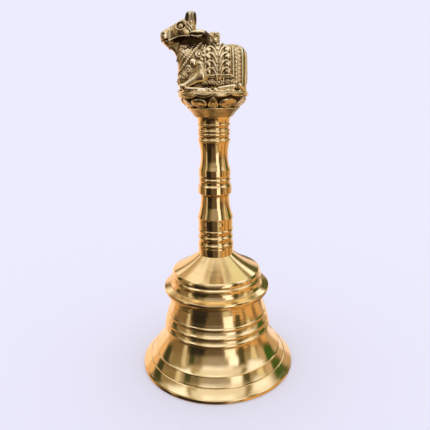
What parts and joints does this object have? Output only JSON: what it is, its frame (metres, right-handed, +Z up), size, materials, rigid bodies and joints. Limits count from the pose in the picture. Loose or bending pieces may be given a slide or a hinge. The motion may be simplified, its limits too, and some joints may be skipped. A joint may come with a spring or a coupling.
{
  "type": "hand bell",
  "caption": "Brass puja hand bell: flared cup with a swinging clapper, turned baluster handle, and a seated bull on a lotus pedestal.",
  "frame": {"origin": "centre of the mouth, on the plane that the lip stands on", "axes": "+Z up along the handle; the bull faces -X and its flanks face +Y and -Y"},
  "size_m": [0.0756, 0.0756, 0.165],
  "materials": {
    "turned_brass": "bright turned, fine lathe lines",
    "cast_brass": "cast, darkened in the hollows and rubbed bright on the high spots",
    "clapper_brass": "turned, dulled",
    "steel": "plain, slightly dulled"
  },
  "bodies": {
    "bell": {"bell_cup": "turned_brass", "handle_shaft": "turned_brass", "lotus_pedestal": "cast_brass", "bull_figure": "cast_brass", "finial_stud": "steel", "hanger_bolt": "steel", "crown_washer": "steel", "hanger_nut": "steel"},
    "link": {"clapper_link": "steel"},
    "clapper": {"clapper_rod": "steel", "clapper_ball": "clapper_brass"}
  },
  "joints": [
    {"name": "link_swing", "type": "hinge", "parent": "bell", "child": "link", "pos_m": [0, 0, 0.0394], "axis": [1, 0, 0], "range_deg": [-30, 30]},
    {"name": "clapper_swing", "type": "hinge", "parent": "link", "child": "clapper", "pos_m": [0, 0, 0.0335], "axis": [0, 1, 0], "range_deg": [-20, 20]}
  ]
}
